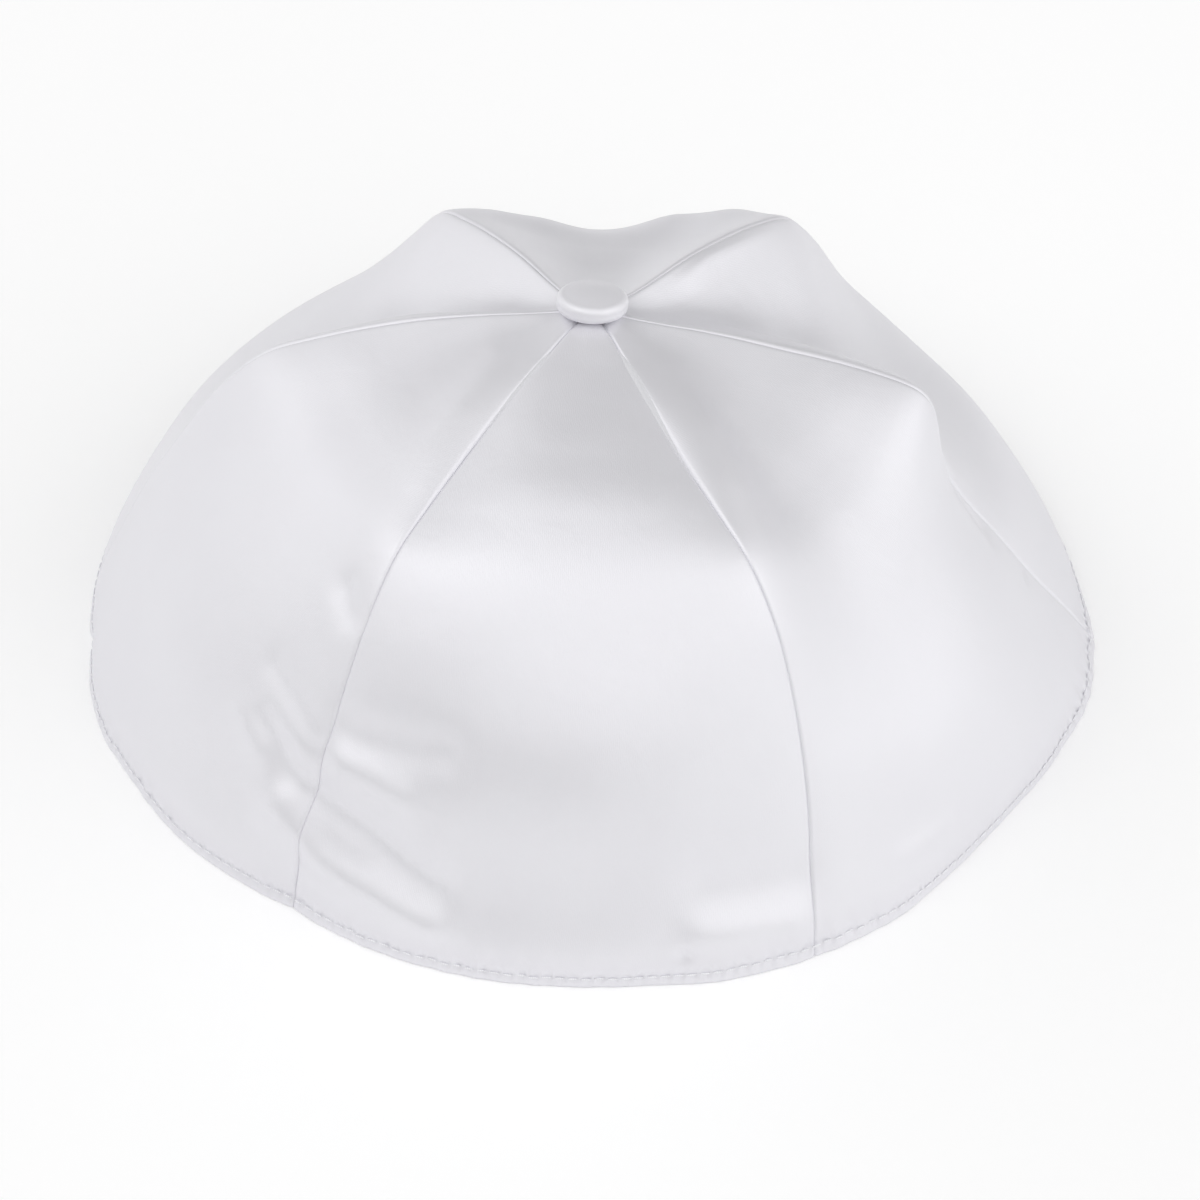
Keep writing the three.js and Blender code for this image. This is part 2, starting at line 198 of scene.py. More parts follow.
# Hem, in mm: its fold at the rim, its stitch row, the puckers that the stitches draw, and the band of
# painted shade along it
HEM_ROLL_RADIUS = 0.6
STITCH_HEIGHT = 2.4
STITCH_PITCH = 2.1
STITCH_LENGTH = 1.75
STITCH_RADIUS = 0.17
STITCH_LIFT = 0.02
CHANNEL_DEPTH = 0.1
CHANNEL_WIDTH = 0.7
DIMPLE_WIDTH = 1.1
# Painted shade on the hem's band: full below the first distance from the rim, gone above the second
HEM_PAINTED_SHADE = (4.5, 8)
PUCKER_DEPTH = 0.2
PUCKER_RISE = 3.6

# Least and greatest scale of a stitch, and points of its line along each panel
STITCH_SCALES = (0.9, 0.85, 0.85), (1.06, 1.12, 1.12)
STITCH_SEED = 3
STITCH_LINE_POINTS = 260

# Swells of the puckers round the rim: share, length in mm, and the shift, length and phase of its wander
PUCKER_SWELLS = [(0.6, 0.93, 1.7, 5.1, 0), (0.4, 0.61, 1.3, 3.7, 2)]
PUCKER_STRENGTH = 0.65
PUCKER_CHANGE = (0.35, 11.3, 1.1, 17, 0)

# Slow waves in the cloth: wave length in mm, direction, phase and height in mm
WAVES = [
    (34, (0.8, 0.5, 0.3), 0.4, 0.10),
    (27, (-0.5, 0.7, 0.5), 1.9, 0.08),
    (21, (0.3, -0.6, 0.8), 3.1, 0.06),
    (15, (0.9, 0.1, -0.4), 4.6, 0.03),
]
WAVE_START = (0, 0.2)

# Columns near a seam, in mm from it, then the even columns between, and the rows from the rim up
EDGE_COLUMNS = [0, 0.05, 0.15, 0.3, 0.48, 0.7, 0.95, 1.3, 1.8, 2.5, 3.4, 4.4, 4.8, 5.2, 6]
MIDDLE_COLUMNS = 112
EDGE_SHARE = 0.36
RIM_ROWS = [0, 0.05, 0.18, 0.38, 0.62, 0.9, 1.3, 1.75, 2.1, 2.4, 2.7, 3.1, 3.7, 4.4, 5.1, 5.7, 6.0, 6.3, 7]
UPPER_ROWS = 132
SHARP_ANGLE = 50

# Button: steps of its outline, then its pleats underneath by count, share, wander and phase,
# with their depth, the heights where they end and the way from the shank where they start, in mm
BUTTON_SEGMENTS = 144
DOME_STEPS = 12
EDGE_STEPS = 10
SHANK_EDGE_RADIUS = 0.3
WAIST_DEPTH = 0.05
PLEATS = [(31, 0.6, 0.7, 0), (19, 0.4, 0, 1)]
PLEAT_WANDER = 5
PLEAT_DEPTH = 0.07
PLEAT_HEIGHTS = (0.2, 1.7)
PLEAT_START = (0.3, 1.5)

# Metres from the rim for a piece that is no part of the hem
FAR_FROM_RIM = 1

# Camera: where it looks, in mm from the rim circle's centre, and its place from there
CAMERA_TARGET = (1.29, 3.99, 0)
CAMERA_DISTANCE = 900
CAMERA_ELEVATION = 44
SENSOR_WIDTH = 36
LENS = 158.8


def smoothstep(low, high, x):
    """0 below low, 1 above high and smooth between."""
    share = np.clip((x - low) / (high - low), 0, 1)
    return share * share * (3 - 2 * share)


def lerp(start, end, share):
    return start + (end - start) * share


def through(xs, ys, x):
    """Smooth curve through a table's points."""
    xs = np.asarray(xs, float)
    ys = np.asarray(ys, float)
    widths = np.diff(xs)
    slopes = np.diff(ys) / widths
    inner = (slopes[:-1] * widths[1:] + slopes[1:] * widths[:-1]) / (widths[:-1] + widths[1:])
    tangents = np.concatenate([slopes[:1], inner, slopes[-1:]])
    i = np.clip(np.searchsorted(xs, x, side="left") - 1, 0, len(xs) - 2)
    share = np.clip((x - xs[i]) / widths[i], 0, 1)
    rise = share * share * (3 - 2 * share)
    return (
        lerp(ys[i], ys[i + 1], rise)
        + share * (1 - share) ** 2 * widths[i] * tangents[i]
        + share * share * (share - 1) * widths[i] * tangents[i + 1]
    )


def station(profile, reach_row, lift_row, level):
    """Reach and height of a seam or a panel's middle."""
    levels, reaches, heights = zip(*profile)
    reach = OPENING_RADIUS + (RIM_RADIUS - OPENING_RADIUS) * through(levels, reaches, level)
    reach = reach + RIM_RADIUS * through(REACH_LEVELS, reach_row, level)
    height = CROWN_HEIGHT * (through(levels, heights, level) + through(REACH_LEVELS, lift_row, level))
    return reach, height


def crown_lean(reach, azimuth):
    """How much the cloth round the button tips with it."""
    spread = LEAN_SPREAD * BUTTON_DIAMETER
    slope = math.tan(math.radians(BUTTON_LEAN)) * np.cos(np.radians(azimuth - BUTTON_LEAN_AZIMUTH))
    return -slope * reach * np.exp(-((reach / spread) ** 2))


def azimuth_at(index, across, level):
    """Azimuth of a panel's point, with across from 0 at its own seam to 1 at the next."""
    start = through(AZIMUTH_LEVELS, SEAMS[index][0], level)
    end = through(AZIMUTH_LEVELS, SEAMS[(index + 1) % len(SEAMS)][0], level)
    return start + np.mod(end - start, 360) * across


def smooth_point(index, across, level):
    """Panel's outer surface before its folds."""
    own_reach, own_height = station(SEAM_PROFILE, *SEAMS[index][1:], level)
    next_reach, next_height = station(SEAM_PROFILE, *SEAMS[(index + 1) % len(SEAMS)][1:], level)
    middle_reach, middle_height = station(PANEL_PROFILE, *PANELS[index][1:], level)
    at_side = smoothstep(*SHOULDER, level)
    bulge = np.clip(1 - np.abs(2 * across - 1) ** lerp(CROWN_POWER, SIDE_POWER, at_side), 0, 1)
    bulge = bulge ** lerp(RIDGE_POWER, 1, at_side)
    side = smoothstep(0, 1, across)
    reach = lerp(lerp(own_reach, next_reach, side), middle_reach, bulge)
    height = lerp(lerp(own_height, next_height, side), middle_height, bulge)
    azimuth = azimuth_at(index, across, level)
    angle = np.radians(azimuth)
    return np.stack([
        reach * np.cos(angle),
        reach * np.sin(angle),
        height + crown_lean(reach, azimuth),
    ], axis=-1)


def meridian_length():
    """Length of the seam profile from the opening to the rim."""
    table = np.array(SEAM_PROFILE)
    points = np.stack([(RIM_RADIUS - OPENING_RADIUS) * table[:, 1], CROWN_HEIGHT * table[:, 2]], axis=-1)
    return float(np.linalg.norm(np.diff(points, axis=0), axis=-1).sum())


MERIDIAN = meridian_length()


def fold_push(folds, azimuth, level, reach, fade):
    """Push of all the folds, which fade out towards their ends by the share fade."""
    total = np.zeros(np.broadcast(azimuth, level, reach).shape)
    for half_width, push, path in folds:
        turns = np.round((azimuth - path[0][0]) / 360)
        xs = [np.radians(azimuth - point[0] - 360 * turns) * reach for point in path]
        ys = [(level - point[1]) * MERIDIAN for point in path]
        nearest = np.full(total.shape, np.inf)
        place = np.zeros(total.shape)
        for i in range(1, len(path)):
            run_x = xs[i - 1] - xs[i]
            run_y = ys[i - 1] - ys[i]
            along = np.clip((xs[i - 1] * run_x + ys[i - 1] * run_y) / (run_x**2 + run_y**2), 0, 1)
            miss = (xs[i - 1] - along * run_x) ** 2 + (ys[i - 1] - along * run_y) ** 2
            place = np.where(miss < nearest, (i - 1 + along) / (len(path) - 1), place)
            nearest = np.minimum(nearest, miss)
        ends = 1 - fade * (2 * np.abs(place - 0.5)) ** 2
        total += push * RIM_RADIUS * ends * np.exp(-nearest / (half_width * RIM_RADIUS) ** 2)
    return total


def roll_push(azimuth, level, reach):
    """Push of the rolls and puffs beside the seams at the crown."""
    narrowing = np.minimum(1, reach / (ROLL_NARROWING * RIM_RADIUS))
    strength = smoothstep(0, ROLL_FULL * RIM_RADIUS, reach) * (1 - smoothstep(*ROLL_END, level))
    total = np.zeros(np.broadcast(azimuth, level, reach).shape)
    for (azimuths, _, _), (side, height), puff in zip(SEAMS, SEAM_ROLLS, SEAM_PUFFS):
        turned = np.mod(azimuth - through(AZIMUTH_LEVELS, azimuths, level) + 180, 360) - 180
        distance = side * np.radians(turned) * reach / narrowing / RIM_RADIUS
        total += height * np.exp(-(((distance - ROLL_OFFSET) / ROLL_HALF_WIDTH) ** 2))
        beyond = distance - PUFF_OFFSET
        total += puff * np.exp(-((beyond / np.where(beyond < 0, *PUFF_WIDTHS)) ** 2))
    return total * RIM_RADIUS * strength


def outward(index, across, level, share):
    """Outward direction: in the seam's plane at panel edges, upright at the opening, level at the rim."""
    step = 0.001
    down = smooth_point(index, across, np.minimum(level + step, 1))
    down = down - smooth_point(index, across, np.maximum(level - step, 0))
    around = smooth_point(index, across + step, level) - smooth_point(index, across - step, level)
    normal = np.cross(down, around)
    normal /= np.linalg.norm(normal, axis=-1, keepdims=True)
    angle = np.radians(azimuth_at(index, across, level))
    hoop = np.stack([-np.sin(angle), np.cos(angle), np.zeros_like(angle)], axis=-1)
    along_hoop = np.sum(normal * hoop, axis=-1) * np.abs(2 * share - 1) ** EDGE_POWER
    normal = normal - hoop * along_hoop[..., None]
    opened = smoothstep(*OPENING_EDGE, level)
    normal[..., 0] *= opened
    normal[..., 1] *= opened
    normal[..., 2] *= 1 - smoothstep(*RIM_EDGE, level)
    return normal / np.linalg.norm(normal, axis=-1, keepdims=True)


def slow_waves(points):
    """Soft unevenness of the whole cloth."""
    total = np.zeros(points.shape[:-1])
    for length, direction, phase, height in WAVES:
        along = points @ (np.array(direction) / np.linalg.norm(direction))
        total += height * np.sin(2 * math.pi * along / length + phase)
    return total


def wandering_wave(place, share, length, shift, wander_length, phase):
    """A wave whose crests wander to and fro."""
    return share * np.sin(place / length + shift * np.sin(place / wander_length + phase))


def hem_puckers(round_rim, from_rim):
    """Short upright puckers that the hem's stitches draw."""
    swell = sum(wandering_wave(round_rim, *row) for row in PUCKER_SWELLS)
    strength = PUCKER_STRENGTH + wandering_wave(round_rim, *PUCKER_CHANGE)
    above = np.maximum(from_rim - STITCH_HEIGHT, 0)
    below = np.maximum(STITCH_HEIGHT - from_rim, 0)
    reach = np.exp(-((above / PUCKER_RISE) ** 2)) * np.exp(-((below / STITCH_HEIGHT) ** 2))
    return PUCKER_DEPTH * swell * strength * reach


def hem_channel(from_rim):
    """Groove along the hem's stitch row."""
    return -CHANNEL_DEPTH * np.exp(-(((from_rim - STITCH_HEIGHT) / CHANNEL_WIDTH) ** 2))


def roll(distance, radius):
    """Depth of a quarter round, from radius at the edge to 0 at that distance from it."""
    inside = np.clip(radius - distance, 0, radius)
    return radius - np.sqrt(radius**2 - inside**2)


def seam_shape(index, distances, level):
    """Cloth rolled in to a panel's two seams and drawn down along them."""
    at_side = smoothstep(*SHOULDER, level)
    at_crown = smoothstep(*DRAW_START, level) * (1 - smoothstep(*DRAW_END, level))
    total = np.zeros(distances[0].shape)
    for seam, distance in zip((index, (index + 1) % len(SEAMS)), distances):
        total -= ROLL_DEPTH * np.clip(1 - distance / ROLL_WIDTH, 0, 1) ** 2
        total -= SEAM_PULL * at_side * np.exp(-((distance / SEAM_PULL_WIDTH) ** 2))
        total -= SEAM_DRAWS[seam] * at_crown * np.exp(-distance / DRAW_WIDTH)
    return total


def panel_surface(index, across, level, share):
    """The cloth's face before its edges are rolled in, its outward direction, and its azimuth."""
    direction = outward(index, across, level, share)
    azimuth = azimuth_at(index, across, level)
    smooth = smooth_point(index, across, level)
    reach = np.hypot(smooth[..., 0], smooth[..., 1])
    from_rim = (1 - level) * MERIDIAN
    round_rim = np.radians(azimuth) * RIM_RADIUS
    relief = fold_push(FOLDS, azimuth, level, reach, 0)
    relief = relief + fold_push(FINE_FOLDS, azimuth, level, reach, 1)
    relief = relief + roll_push(azimuth, level, reach)
    relief = relief + GATHER_RISE * (1 - (2 * across - 1) ** 2) * np.exp(-((reach / GATHER_REACH) ** 2))
    relief = relief + slow_waves(smooth) * smoothstep(*WAVE_START, level)
    relief = relief + hem_puckers(round_rim, from_rim)
    return smooth + direction * relief[..., None], direction, azimuth


def rim_middle():
    """Middle of the cap's box, which the frame has at its origin."""
    columns, rows, lowest = 200, 60, 0.7
    across = np.linspace(0, 1, columns)[None, :]
    level = np.linspace(lowest, 1, rows)[:, None]
    points = []
    for index in range(len(PANELS)):
        smooth = smooth_point(index, across, level)
        azimuth = azimuth_at(index, across, level)
        reach = np.hypot(smooth[..., 0], smooth[..., 1])
        push = fold_push(FOLDS, azimuth, level, reach, 0)
        direction = outward(index, across, level, across + 0 * level)
        points.append((smooth + direction * push[..., None]).reshape(-1, 3))
    points = np.concatenate(points)
    middle = (points.min(axis=0) + points.max(axis=0)) / 2
    return np.array([middle[0], middle[1], 0])


RIM_MIDDLE = rim_middle()


def panel_columns(width):
    """Distances across a panel from its own seam, crowded towards both of its seams."""
    edge = np.array(EDGE_COLUMNS)
    scale = np.minimum(1, EDGE_SHARE * width / edge[-1])
    near = edge[None, :] * scale[:, None]
    middle_share = np.linspace(0, 1, MIDDLE_COLUMNS + 1)[1:-1]
    start = near[:, -1:]
    middle = start + (width[:, None] - 2 * start) * middle_share[None, :]
    return np.concatenate([near, middle, width[:, None] - near[:, ::-1]], axis=1)


def mesh_object(name, points, faces, materials, face_materials):
    """A mesh in metres in the frame, from points in mm from the rim circle's centre."""
    mesh = bpy.data.meshes.new(name)
    mesh.from_pydata(((points - RIM_MIDDLE) * MM).tolist(), [], faces.tolist())
    for material in materials:
        mesh.materials.append(material)
    mesh.polygons.foreach_set("material_index", face_materials.astype(np.int32))
    mesh.polygons.foreach_set("use_smooth", np.ones(len(faces), bool))
    mesh.set_sharp_from_angle(angle=math.radians(SHARP_ANGLE))
    mesh.update()
    piece = bpy.data.objects.new(name, mesh)
    bpy.context.scene.collection.objects.link(piece)
    return piece


def set_values(mesh, name, values):
    """A value at each of the mesh's points, for its materials to read."""
    layer = mesh.attributes.new(name, "FLOAT", "POINT")
    layer.data.foreach_set("value", values.astype(np.float32).ravel())


def set_uv(mesh, u, v):
    """UV map in metres of cloth."""
    layer = mesh.uv_layers.new(name="cloth")
    corners = np.empty(len(mesh.loops), np.int32)
    mesh.loops.foreach_get("vertex_index", corners)
    layer.data.foreach_set("uv", np.stack([u[corners], v[corners]], axis=-1).astype(np.float32).ravel())


def grid_quads(rows, columns, first):
    """Corner numbers of a grid's quads, facing out when rows run down and columns counter-clockwise."""
    r, c = np.meshgrid(np.arange(rows - 1), np.arange(columns - 1), indexing="ij")
    corner = (first + r * columns + c).ravel()
    return np.stack([corner, corner + columns, corner + columns + 1, corner + 1], axis=-1)


def make_panel(index, face, reverse):
    """One panel as a closed shell: its face, its edges, and its reverse with allowances and hem."""
    from_rim = np.concatenate([
        np.array(RIM_ROWS, float),
        np.linspace(RIM_ROWS[-1], MERIDIAN, UPPER_ROWS + 1)[1:],
    ])[::-1]
    level = (1 - from_rim / MERIDIAN)[:, None]
    edge_point = smooth_point(index, 0.5 + 0 * level, level)
    turn = azimuth_at(index, 1, level) - azimuth_at(index, 0, level)
    width = (np.radians(turn) * np.hypot(edge_point[..., 0], edge_point[..., 1]))[:, 0]
    distance = panel_columns(width - SEAM_GAP) + SEAM_GAP / 2
    across = distance / width[:, None]
    inset = SEAM_GAP / 2 / width[:, None]
    share = (across - inset) / (1 - 2 * inset)
    level = level + 0 * across
    from_rim = from_rim[:, None] + 0 * across
    from_seams = distance - SEAM_GAP / 2, width[:, None] - distance - SEAM_GAP / 2
    from_seam = np.minimum(*from_seams)
    surface, direction, azimuth = panel_surface(index, across, level, share)
    rim_roll = roll(from_rim, HEM_ROLL_RADIUS)
    lifted = seam_shape(index, from_seams, level) + hem_channel(from_rim) - rim_roll
    hem = 1 - smoothstep(HEM_DEPTH - LAYER_STEP, HEM_DEPTH + LAYER_STEP, from_rim)
    allowance = 1 - smoothstep(ALLOWANCE_WIDTH - LAYER_STEP, ALLOWANCE_WIDTH + LAYER_STEP, from_seam)
    allowance = allowance * (1 - hem) * smoothstep(*ALLOWANCE_START, level)
    wall = lerp(CLOTH, HEM_THICKNESS, hem) + ALLOWANCE_THICKNESS * allowance - rim_roll
    outer = surface + direction * lifted[..., None]
    inner = surface - direction * wall[..., None]
    rows, columns = level.shape
    count = rows * columns
    face_quads = grid_quads(rows, columns, 0)
    back_quads = grid_quads(rows, columns, count)[:, ::-1]
    r = np.arange(rows - 1) * columns
    last = r + columns - 1
    c = np.arange(columns - 1)
    bottom = (rows - 1) * columns + c
    edges = np.concatenate([
        np.stack([r, r + count, r + columns + count, r + columns], axis=-1),
        np.stack([last, last + columns, last + columns + count, last + count], axis=-1),
        np.stack([c, c + 1, c + 1 + count, c + count], axis=-1),
        np.stack([bottom, bottom + count, bottom + 1 + count, bottom + 1], axis=-1),
    ])
    quads = np.concatenate([face_quads, back_quads, edges])
    on_reverse = np.zeros(len(quads), int)
    rim_distance = from_rim.ravel()[face_quads].mean(axis=1)
    on_reverse[len(face_quads):len(face_quads) + len(back_quads)] = rim_distance > HEM_DEPTH
    points = np.concatenate([outer.reshape(-1, 3), inner.reshape(-1, 3)])
    piece = mesh_object(f"satin_{PANELS[index][0]}", points, quads, [face, reverse], on_reverse)
    both = (2,) + level.shape
    set_values(piece.data, "from_rim", np.broadcast_to(from_rim * MM, both))
    set_values(piece.data, "round_rim", np.broadcast_to(np.radians(azimuth) * RIM_RADIUS * MM, both))
    u = np.broadcast_to((distance - width[:, None] / 2) * MM, both).ravel()
    v = np.broadcast_to(from_rim * MM, both).ravel()
    set_uv(piece.data, u, v)
    return piece


def stitch_line(height_out):
    """Points and outward directions along the hem's stitch row, height_out off the cloth's face."""
    points, directions = [], []
    across = np.linspace(0, 1, STITCH_LINE_POINTS, endpoint=False)[None, :]
    level = np.full(across.shape, 1 - STITCH_HEIGHT / MERIDIAN)
    for index in range(len(PANELS)):
        surface, direction, _ = panel_surface(index, across, level, across)
        points.append((surface + direction * height_out)[0])
        directions.append(direction[0])
    return np.concatenate(points), np.concatenate(directions)


def node(tree, kind, inputs=None, **settings):
    """A node with its settings, and with values or links for its inputs."""
    made = tree.nodes.new(kind)
    for key, value in settings.items():
        setattr(made, key, value)
    for key, value in (inputs or {}).items():
        if isinstance(value, bpy.types.NodeSocket):
            tree.links.new(value, made.inputs[key])
        else:
            made.inputs[key].default_value = value
    return made


def math_node(tree, operation, *values):
    return node(tree, "ShaderNodeMath", dict(enumerate(values)), operation=operation).outputs[0]


def group(name, inputs, outputs):
    """An empty shader node group with its sockets, and its input and output nodes."""
    tree = bpy.data.node_groups.new(name, "ShaderNodeTree")
    for label, kind, value in inputs:
        socket = tree.interface.new_socket(label, in_out="INPUT", socket_type=f"NodeSocket{kind}")
        if value is not None:
            socket.default_value = value
    for label, kind in outputs:
        tree.interface.new_socket(label, in_out="OUTPUT", socket_type=f"NodeSocket{kind}")
    return tree, tree.nodes.new("NodeGroupInput").outputs, tree.nodes.new("NodeGroupOutput").inputs


def thread_round(tree, number):
    """Height across a round thread, from the thread's number and its fraction."""
    share = math_node(tree, "FRACT", number)
    return math_node(tree, "SINE", math_node(tree, "MULTIPLY", share, math.pi))


def satin_weave():
    """Long warp floats side by side, each held down by a crossing thread every fifth pick."""
    picks, step_sideways, crossing_share, crossing_height = 5.0, 2.0, 0.1, 0.45
    slub_scale, slub_shift = 1100.0, 0.0004
    tree, given, result = group(
        "satin_weave",
        [("Cloth", "Vector", None), ("Thread", "Float", 0.00022)],
        [("Height", "Float"), ("Floats", "Float")],
    )
    slub = node(tree, "ShaderNodeTexNoise", {"Vector": given["Cloth"], "Scale": slub_scale, "Detail": 1.0})
    slack = node(tree, "ShaderNodeVectorMath", {
        0: slub.outputs["Color"], 1: (slub_shift, slub_shift, 0.0), 2: given["Cloth"],
    }, operation="MULTIPLY_ADD")
    place = node(tree, "ShaderNodeSeparateXYZ", {0: slack.outputs[0]}).outputs
    warp = math_node(tree, "DIVIDE", place["X"], given["Thread"])
    weft = math_node(tree, "DIVIDE", place["Y"], given["Thread"])
    end = math_node(tree, "FLOOR", warp)
    pick = math_node(tree, "FLOOR", weft)
    step = math_node(tree, "MULTIPLY_ADD", end, step_sideways, pick)
    turn = math_node(tree, "FRACT", math_node(tree, "DIVIDE", step, picks))
    crossing = math_node(tree, "LESS_THAN", turn, crossing_share)
    low = math_node(tree, "MULTIPLY", thread_round(tree, weft), crossing_height)
    height = node(tree, "ShaderNodeMix", {
        0: crossing, 2: thread_round(tree, warp), 3: low,
    }, data_type="FLOAT")
    tree.links.new(height.outputs[0], result["Height"])
    tree.links.new(math_node(tree, "SUBTRACT", 1.0, crossing), result["Floats"])
    return tree


def cloth_unevenness():
    """Slow changes across the cloth: faint creases, and a slight change of tone and gloss."""
    creases_per_size = 3.1
    tree, given, result = group(
        "cloth_unevenness",
        [("Place", "Vector", None), ("Size", "Float", 0.02)],
        [("Crease", "Float"), ("Tone", "Float"), ("Gloss", "Float")],
    )
    scale = math_node(tree, "DIVIDE", 1.0, given["Size"])
    broad = node(tree, "ShaderNodeTexNoise", {"Vector": given["Place"], "Scale": scale, "Detail": 2.0})
    finer = math_node(tree, "MULTIPLY", scale, creases_per_size)
    crease = node(tree, "ShaderNodeTexNoise", {
        "Vector": given["Place"], "Scale": finer, "Detail": 3.0, "Roughness": 0.45, "Distortion": 0.6,
    })
    tree.links.new(crease.outputs[0], result["Crease"])
    tree.links.new(broad.outputs[0], result["Tone"])
    tree.links.new(math_node(tree, "SUBTRACT", 1.0, broad.outputs[0]), result["Gloss"])
    return tree


def hem_work():
    """Dimples at the ends of the hem's stitches, and a mask of painted shade along the hem's band, darker
    towards the rim.
    """
    tree, given, result = group(
        "hem_work",
        [
            ("From rim", "Float", 0.0), ("Round rim", "Float", 0.0),
            ("Row height", "Float", STITCH_HEIGHT * MM), ("Pitch", "Float", STITCH_PITCH * MM),
        ],
        [("Height", "Float"), ("Painted shade", "Float")],
    )
    turns = math_node(tree, "DIVIDE", given["Round rim"], given["Pitch"])
    wave = math_node(tree, "COSINE", math_node(tree, "MULTIPLY", turns, 2 * math.pi))
    off = math_node(tree, "SUBTRACT", given["From rim"], given["Row height"])
    off = math_node(tree, "DIVIDE", off, DIMPLE_WIDTH * MM)
    off = math_node(tree, "MULTIPLY", off, off)
    near = math_node(tree, "EXPONENT", math_node(tree, "MULTIPLY", off, -1.0))
    tree.links.new(math_node(tree, "MULTIPLY", wave, near), result["Height"])
    # Band of painted shade, full near the rim and fading out higher up
    band = node(tree, "ShaderNodeMapRange", {
        "Value": given["From rim"], "From Min": HEM_PAINTED_SHADE[0] * MM, "From Max": HEM_PAINTED_SHADE[1] * MM,
        "To Min": 1.0, "To Max": 0.0,
    }, interpolation_type="SMOOTHSTEP")
    tree.links.new(band.outputs[0], result["Painted shade"])
    return tree


WEAVE = satin_weave()
UNEVENNESS = cloth_unevenness()
HEM_WORK = hem_work()


def use_group(tree, made, inputs):
    return node(tree, "ShaderNodeGroup", inputs, node_tree=made).outputs


def new_material(name):
    material = bpy.data.materials.new(name)
    material.use_nodes = True
    tree = material.node_tree
    tree.nodes.clear()
    output = tree.nodes.new("ShaderNodeOutputMaterial")
    surface = tree.nodes.new("ShaderNodeBsdfPrincipled")
    tree.links.new(surface.outputs[0], output.inputs["Surface"])
    return material, tree, surface


def attribute(tree, name):
    return node(tree, "ShaderNodeAttribute", attribute_name=name).outputs["Fac"]


def mixed(tree, share, first, second):
    """Colour between two, by a share."""
    return node(tree, "ShaderNodeMix", {0: share, 6: first, 7: second}, data_type="RGBA").outputs[2]


def satin(name, colour, shade, roughness, sheen, thread, weave_depth, lustre):
    """Satin with its weave, slight creases, uneven gloss and painted shade along the hem's band."""
    uneven_size, uneven_tone, hem_painted_shade = 0.02, 0.35, 0.4
    gloss_range, float_gloss = 0.12, 0.04
    crease_depth, dimple_depth = 0.0002, 0.00016
    material, tree, surface = new_material(name)
    surface.inputs["Metallic"].default_value = lustre
    uv = node(tree, "ShaderNodeUVMap", uv_map="cloth").outputs[0]
    place = node(tree, "ShaderNodeTexCoord").outputs["Object"]
    weave = use_group(tree, WEAVE, {"Cloth": uv, "Thread": thread})
    uneven = use_group(tree, UNEVENNESS, {"Place": place, "Size": uneven_size})
    hem = use_group(tree, HEM_WORK, {
        "From rim": attribute(tree, "from_rim"), "Round rim": attribute(tree, "round_rim"),
    })
    tone = node(tree, "ShaderNodeMapRange", {
        "Value": uneven["Tone"], "From Min": 0.3, "From Max": 0.7, "To Min": 0.0, "To Max": uneven_tone,
    }).outputs[0]
    base = mixed(tree, tone, (*colour, 1), (*shade, 1))
    # Painted shade: the hem's band is drawn towards the shade colour
    band = math_node(tree, "MULTIPLY", hem["Painted shade"], hem_painted_shade)
    base = mixed(tree, band, base, (*shade, 1))
    tree.links.new(base, surface.inputs["Base Color"])
    gloss = math_node(tree, "MULTIPLY_ADD", uneven["Gloss"], gloss_range, roughness - gloss_range / 2)
    gloss = math_node(tree, "MULTIPLY_ADD", weave["Floats"], -float_gloss, gloss)
    tree.links.new(gloss, surface.inputs["Roughness"])
    surface.inputs["IOR"].default_value = 1.5
    surface.inputs["Sheen Weight"].default_value = sheen
    surface.inputs["Sheen Roughness"].default_value = 0.4
    crease = node(tree, "ShaderNodeBump", {
        "Height": uneven["Crease"], "Strength": 0.5, "Distance": crease_depth,
    })
    dimples = node(tree, "ShaderNodeBump", {
        "Height": hem["Height"], "Strength": 0.8, "Distance": dimple_depth, "Normal": crease.outputs[0],
    })
    threads = node(tree, "ShaderNodeBump", {
        "Height": weave["Height"], "Strength": 0.6, "Distance": weave_depth, "Normal": dimples.outputs[0],
    })
    tree.links.new(threads.outputs[0], surface.inputs["Normal"])
    return material


def thread_material():
    """Sewing thread with a slanted twist."""
    twist_scale, twist_depth = 900.0, 0.00004
    material, tree, surface = new_material("thread")
    place = node(tree, "ShaderNodeTexCoord").outputs["Object"]
    twist = node(tree, "ShaderNodeTexWave", {"Vector": place, "Scale": twist_scale, "Distortion": 1.2})
    base = mixed(tree, twist.outputs["Fac"], (0.80, 0.80, 0.83, 1), (0.87, 0.87, 0.90, 1))
    tree.links.new(base, surface.inputs["Base Color"])
    bump = node(tree, "ShaderNodeBump", {
        "Height": twist.outputs["Fac"], "Strength": 0.5, "Distance": twist_depth,
    })
    tree.links.new(bump.outputs[0], surface.inputs["Normal"])
    surface.inputs["Roughness"].default_value = 0.5
    return material


